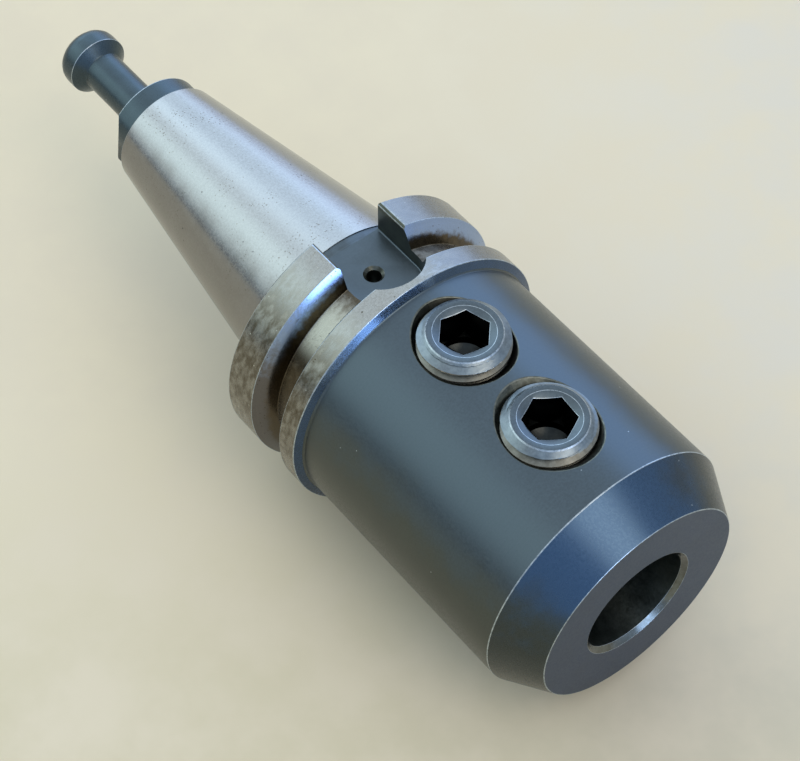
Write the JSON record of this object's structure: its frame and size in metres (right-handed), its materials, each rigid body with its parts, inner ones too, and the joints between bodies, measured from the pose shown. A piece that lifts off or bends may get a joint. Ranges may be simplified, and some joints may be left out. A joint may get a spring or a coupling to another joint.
{
  "type": "side lock end mill holder",
  "caption": "Steep-taper tool holder whose thick round nose grips an end mill's flatted shank with radial set screws; grooved flange, drive slots and pull stud.",
  "frame": {"origin": "spindle axis in the gauge plane of the taper, where its diameter is 69.85 mm", "axes": "+X along the spindle axis towards the nose; +Z through the lock screws and the drive slot with the small hole; +Y completes a right-handed frame"},
  "size_m": [0.3011, 0.1, 0.1008],
  "materials": {
    "holder_steel": "black oxide over ground and turned steel",
    "stud_steel": "black oxide over turned steel",
    "screw_steel": "worn black oxide"
  },
  "bodies": {
    "holder": {"holder_body": "holder_steel", "pull_stud": "stud_steel"},
    "rear_screw": {"rear_lock_screw": "screw_steel"},
    "front_screw": {"front_lock_screw": "screw_steel"}
  },
  "joints": [
    {"name": "rear_lock_travel", "type": "slide", "parent": "holder", "child": "rear_screw", "axis": [0, 0, -1], "range_m": [-0.006, 0.00514]},
    {"name": "front_lock_travel", "type": "slide", "parent": "holder", "child": "front_screw", "axis": [0, 0, -1], "range_m": [-0.0078, 0.00334]}
  ]
}
